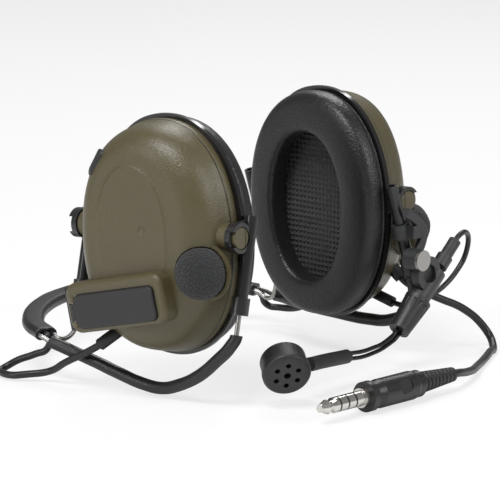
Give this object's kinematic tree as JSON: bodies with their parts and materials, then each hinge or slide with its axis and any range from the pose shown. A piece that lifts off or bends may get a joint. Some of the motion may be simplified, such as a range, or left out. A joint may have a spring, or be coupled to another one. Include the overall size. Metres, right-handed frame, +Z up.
{
  "type": "communications headset",
  "caption": "Behind-the-neck hearing-protection headset: olive cups on a spring-wire neckband, boom microphone, and a downlead ending in a jack plug.",
  "frame": {"origin": "bottom centre of the bounding box, on the surface the headset lies on", "axes": "+X to the wearer's right, +Y forward, +Z up"},
  "size_m": [0.2048, 0.216, 0.1289],
  "materials": {
    "band_rubber": "smooth extruded",
    "black_plastic": "satin",
    "board_green": "solder mask",
    "boom_grey": "satin",
    "boom_wire": "black coated wire",
    "cable_rubber": "smooth jacket",
    "cell_wrap": "printed film on steel can",
    "contact_metal": "turned and nickel plated",
    "door_black": "fine grain",
    "electret_metal": "satin",
    "gloss_black": "glossy moulded",
    "insulator": "turned",
    "leatherette": "soft black leatherette",
    "liner_cloth": "open knit over foam",
    "mic_plastic": "satin",
    "nut_black": "satin",
    "olive_plastic": "fine grained moulded plastic",
    "plug_rubber": "moulded",
    "soft_rubber": "soft moulded",
    "steel": "drawn wire",
    "windscreen_foam": "open-cell foam",
    "yoke_black": "satin gloss"
  },
  "bodies": {
    "neckband": {"front_wire": "steel", "rear_wire": "steel", "right_front_sleeve": "band_rubber", "left_front_sleeve": "band_rubber", "neckband_cover": "band_rubber", "crossover_cable": "cable_rubber", "downlead_cable": "cable_rubber", "plug_body": "plug_rubber", "plug_insulators": "insulator", "plug_relief": "soft_rubber", "plug_ring_contacts": "contact_metal", "plug_sleeve_contact": "contact_metal", "plug_tip_contact": "contact_metal"},
    "right_yokes": {"right_front_yoke": "yoke_black", "right_rear_yoke": "yoke_black"},
    "right_cup": {"right_battery": "cell_wrap", "right_cable_gland": "soft_rubber", "right_circuit_board": "board_green", "right_cup_shell": "olive_plastic", "right_door_pin": "steel", "right_ear_cushion": "leatherette", "right_foam_liner": "liner_cloth", "right_keypad_bezel": "black_plastic", "right_mic_capsule": "electret_metal", "right_mic_windscreen": "windscreen_foam", "right_pivot_buttons": "olive_plastic", "right_seal_flange": "gloss_black", "right_side_plug": "soft_rubber", "right_speaker": "black_plastic"},
    "right_door": {"right_battery_door": "door_black"},
    "mode_key": {"right_button_mode": "soft_rubber"},
    "minus_key": {"right_button_minus": "soft_rubber"},
    "plus_key": {"right_button_plus": "soft_rubber"},
    "left_yokes": {"left_front_yoke": "yoke_black", "left_rear_yoke": "yoke_black", "boom_bracket": "boom_grey", "boom_pivot_screw": "steel"},
    "left_cup": {"left_battery": "cell_wrap", "left_cable_gland": "soft_rubber", "left_circuit_board": "board_green", "left_cup_shell": "olive_plastic", "left_door_pin": "steel", "left_ear_cushion": "leatherette", "left_foam_liner": "liner_cloth", "left_mic_capsule": "electret_metal", "left_mic_windscreen": "windscreen_foam", "left_pivot_buttons": "olive_plastic", "left_seal_flange": "gloss_black", "left_side_plug": "soft_rubber", "left_speaker": "black_plastic"},
    "left_door": {"left_battery_door": "door_black"},
    "clamp_nut": {"boom_nut": "nut_black"},
    "boom": {"boom_swivel": "boom_grey", "boom_collet": "black_plastic", "boom_rods": "boom_wire", "boom_rear_sleeve": "boom_grey", "mic_stem": "soft_rubber", "mic_housing": "black_plastic", "mic_cover": "mic_plastic", "boom_lead": "cable_rubber"}
  },
  "joints": [
    {"name": "right_height", "type": "slide", "parent": "neckband", "child": "right_yokes", "axis": [-0.2629, -0.0582, 0.9631], "range_m": [-0.008, 0.015], "deforming": ["crossover_cable"]},
    {"name": "right_tilt", "type": "hinge", "parent": "right_yokes", "child": "right_cup", "pos_m": [0.07043, 0.00162, 0.07581], "axis": [-0.061, 0.9972, 0.0436], "range_deg": [-10, 10], "deforming": ["crossover_cable"]},
    {"name": "right_battery_door_hinge", "type": "hinge", "parent": "right_cup", "child": "right_door", "pos_m": [0.09731, -0.02511, 0.03763], "axis": [-0.0138, 0.2262, -0.974], "range_deg": [0, 95]},
    {"name": "mode_press", "type": "slide", "parent": "right_cup", "child": "mode_key", "axis": [-0.0595, 0.9722, 0.2267], "range_m": [0, 0.0008]},
    {"name": "minus_press", "type": "slide", "parent": "right_cup", "child": "minus_key", "axis": [-0.0595, 0.9722, 0.2267], "range_m": [0, 0.0008]},
    {"name": "plus_press", "type": "slide", "parent": "right_cup", "child": "plus_key", "axis": [-0.0595, 0.9722, 0.2267], "range_m": [0, 0.0008]},
    {"name": "left_height", "type": "slide", "parent": "neckband", "child": "left_yokes", "axis": [0.2629, -0.0582, 0.9631], "range_m": [0, 0.015], "deforming": ["crossover_cable", "downlead_cable"]},
    {"name": "left_tilt", "type": "hinge", "parent": "left_yokes", "child": "left_cup", "pos_m": [-0.05417, 0.00162, 0.07581], "axis": [-0.061, -0.9972, -0.0436], "range_deg": [-10, 7], "deforming": ["crossover_cable", "downlead_cable", "boom_lead"]},
    {"name": "left_battery_door_hinge", "type": "hinge", "parent": "left_cup", "child": "left_door", "pos_m": [-0.08105, -0.02511, 0.03763], "axis": [-0.0138, -0.2262, 0.974], "range_deg": [0, 95]},
    {"name": "boom_swing", "type": "hinge", "parent": "left_yokes", "child": "boom", "pos_m": [-0.04576, 0.05962, 0.05198], "axis": [0, 1, 0], "range_deg": [-35, 20], "deforming": ["boom_lead"]},
    {"name": "nut_turn", "type": "hinge", "parent": "boom", "child": "clamp_nut", "pos_m": [-0.04185, 0.05982, 0.02673], "axis": [0.7516, 0, -0.6596], "range_deg": [0, 180]}
  ]
}
